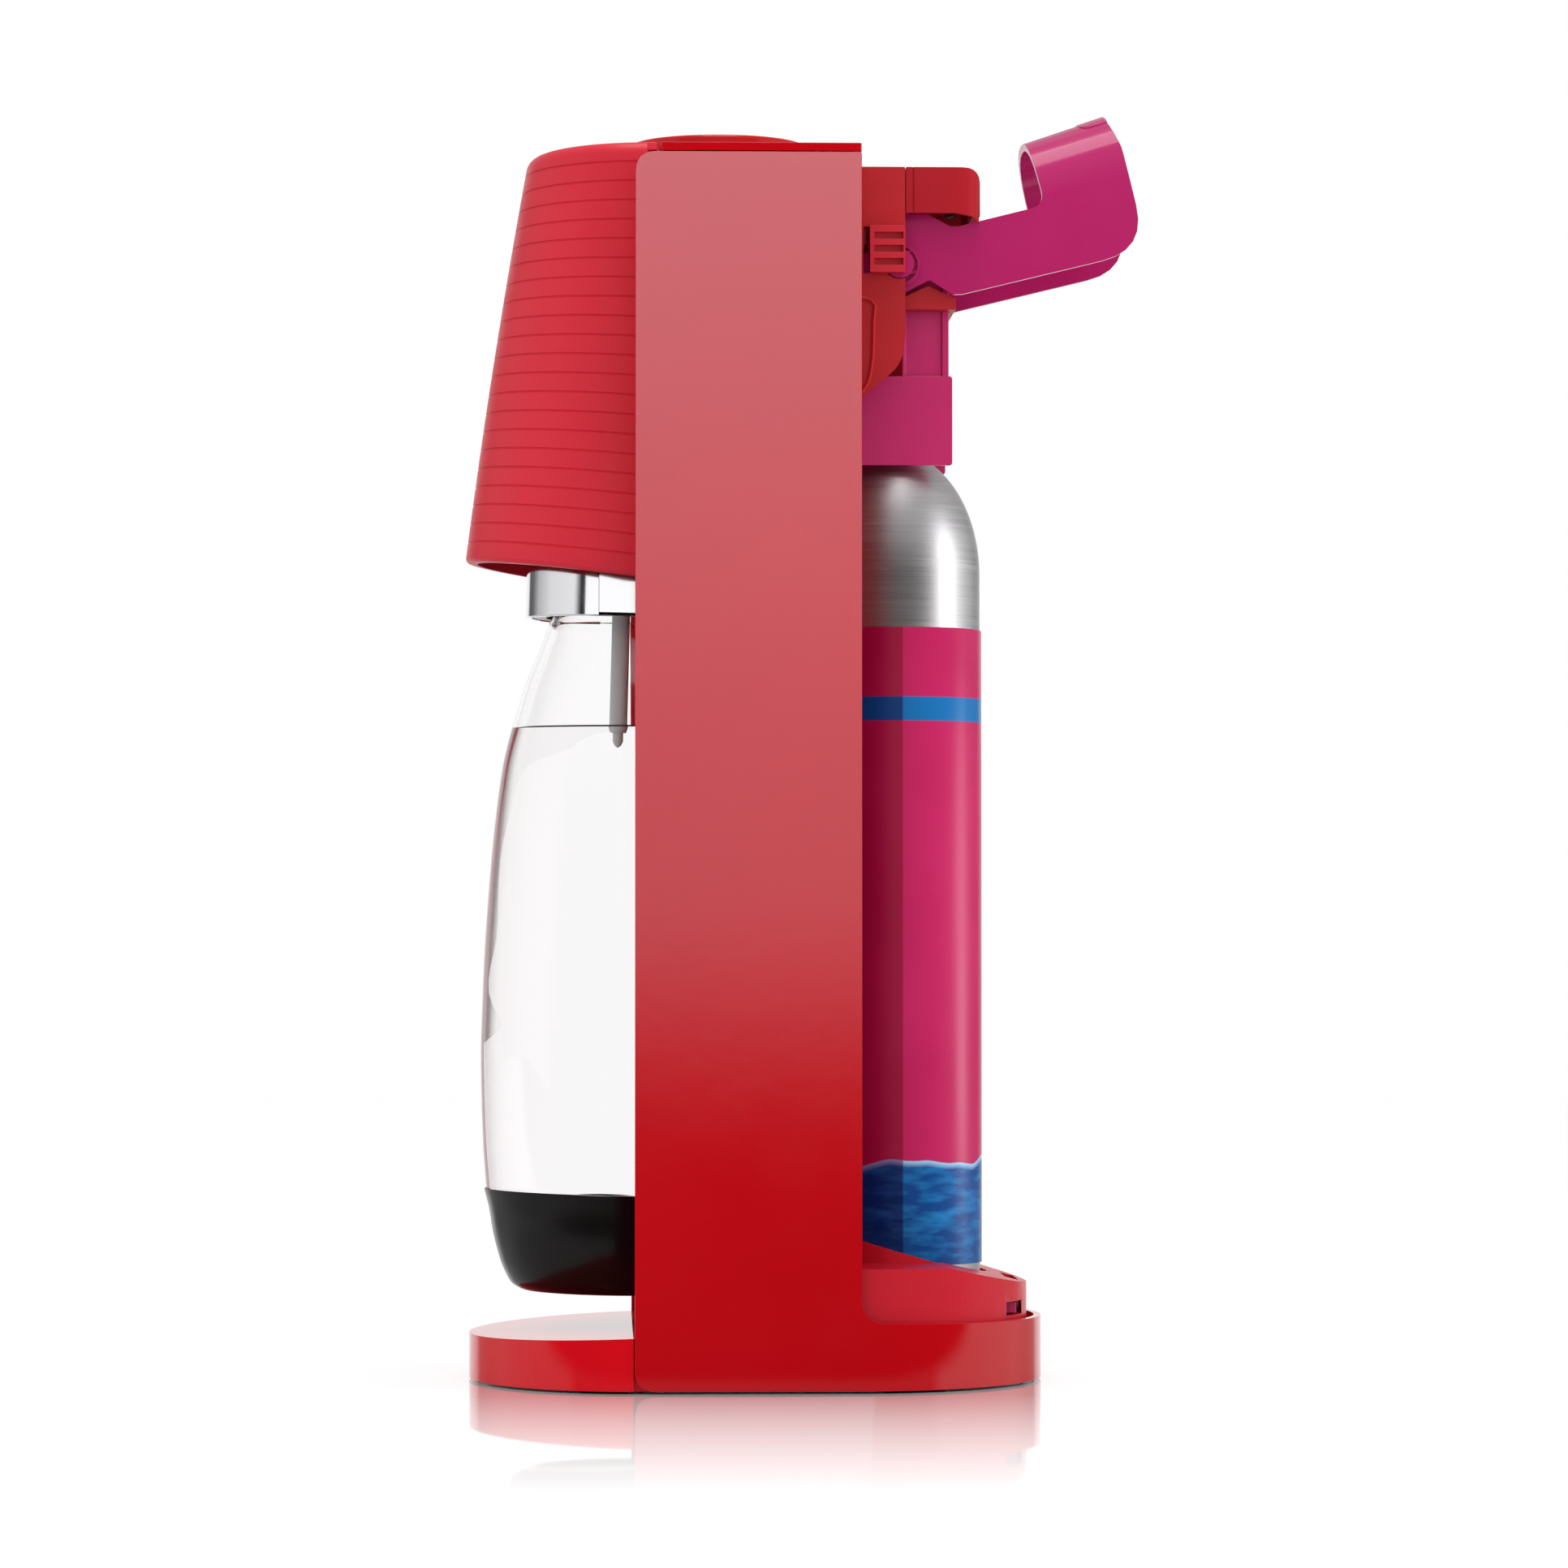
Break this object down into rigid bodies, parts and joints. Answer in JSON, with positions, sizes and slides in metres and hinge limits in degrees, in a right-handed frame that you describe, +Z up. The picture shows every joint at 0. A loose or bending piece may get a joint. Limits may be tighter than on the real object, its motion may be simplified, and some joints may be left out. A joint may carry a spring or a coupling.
{
  "type": "soda carbonator",
  "caption": "Countertop soda carbonator, rear cover off: tilting bottle holder with clear bottle, push button, gas cylinder in its tray and a raised quick-connect lever.",
  "frame": {"origin": "on the standing surface, under the middle of the whole machine's box", "axes": "+Z up, front of the machine towards -Y, +X to the user's right when facing +Y"},
  "size_m": [0.15, 0.2304, 0.4359],
  "materials": {
    "red_gloss": "deep gloss red",
    "red_satin": "satin red",
    "red_inner": "dark red, matte",
    "pink": "pink",
    "black": "black",
    "rubber": "black rubber",
    "chrome": "polished",
    "steel": "plain",
    "brass": "plain",
    "aluminium": "brushed",
    "label": "printed film, magenta and blue",
    "grey": "light grey",
    "clear": "clear",
    "hose": "pale, flexible"
  },
  "bodies": {
    "root": {"base": "red_gloss", "bottom_cover": "black", "base_screw_1": "steel", "base_screw_2": "steel", "base_screw_3": "steel", "base_screw_4": "steel", "rubber_foot_1": "rubber", "rubber_foot_2": "rubber", "rubber_foot_3": "rubber", "rubber_foot_4": "rubber", "side_panel_right": "red_gloss", "side_panel_left": "red_gloss", "front_shroud": "red_satin", "top_cover": "red_gloss", "button_ring": "red_gloss", "button_spring": "steel", "chassis": "red_inner", "lever_bracket": "red_inner", "cover_catch_right": "red_satin", "cover_catch_left": "red_satin", "rear_cap": "red_gloss", "actuator_pin": "steel", "valve_body": "red_inner", "gas_hose": "hose", "carrier_guide": "red_inner", "cylinder_tray": "red_gloss", "holder_pin_right": "steel", "holder_pin_left": "steel"},
    "button": {"carbonation_button": "red_gloss"},
    "actuator": {"actuator_lever": "grey"},
    "valve_pin": {"valve_pin": "steel"},
    "holder": {"collar_front": "chrome", "collar_rear": "chrome", "collar_liner": "black", "carbonation_head": "black", "mouth_seal": "rubber", "nozzle": "grey", "nozzle_tip": "clear", "relief_valve": "brass"},
    "bottle": {"bottle": "clear", "bottle_cup": "black"},
    "lever": {"quick_connect_lever": "pink"},
    "carrier": {"valve_carrier": "pink"},
    "cylinder": {"gas_cylinder": "aluminium", "cylinder_label": "label", "cylinder_valve": "pink"},
    "latch": {"cover_latch": "pink"}
  },
  "joints": [
    {"name": "button_slide", "type": "slide", "parent": "root", "child": "button", "axis": [0, 0, -1], "range_m": [0, 0.007], "stiffness_N_per_m": 600, "springref_m": -0.003, "deforming": ["button_spring"]},
    {"name": "actuator_hinge", "type": "hinge", "parent": "root", "child": "actuator", "pos_m": [0, 0.0518, 0.402], "axis": [1, 0, 0], "range_deg": [0, 5.2]},
    {"name": "valve_pin_slide", "type": "slide", "parent": "root", "child": "valve_pin", "axis": [0, 0, -1], "range_m": [0, 0.0017]},
    {"name": "holder_hinge", "type": "hinge", "parent": "root", "child": "holder", "pos_m": [0, -0.0332, 0.322], "axis": [-1, 0, 0], "range_deg": [0, 12]},
    {"name": "bottle_slide", "type": "slide", "parent": "holder", "child": "bottle", "axis": [0, -0.0262, -0.9997], "range_m": [0, 0.009]},
    {"name": "lever_hinge", "type": "hinge", "parent": "root", "child": "lever", "pos_m": [0, 0.0331, 0.3811], "axis": [1, 0, 0], "range_deg": [-103, 0]},
    {"name": "carrier_slide", "type": "slide", "parent": "root", "child": "carrier", "axis": [0, 0, 1], "range_m": [0, 0.003]},
    {"name": "cylinder_tilt", "type": "hinge", "parent": "root", "child": "cylinder", "pos_m": [0, 0.063, 0.032], "axis": [-1, 0, 0], "range_deg": [0, 10]},
    {"name": "latch_slide", "type": "slide", "parent": "root", "child": "latch", "axis": [0, -1, 0], "range_m": [0, 0.002], "stiffness_N_per_m": 300, "springref_m": -0.001}
  ],
  "couplings": [
    {"joint": "actuator_hinge", "follows": "button_slide", "rad_per_m": 12.53},
    {"joint": "valve_pin_slide", "follows": "button_slide", "ratio": 0.2356},
    {"joint": "carrier_slide", "follows": "lever_hinge", "m_per_rad": -0.001668}
  ]
}
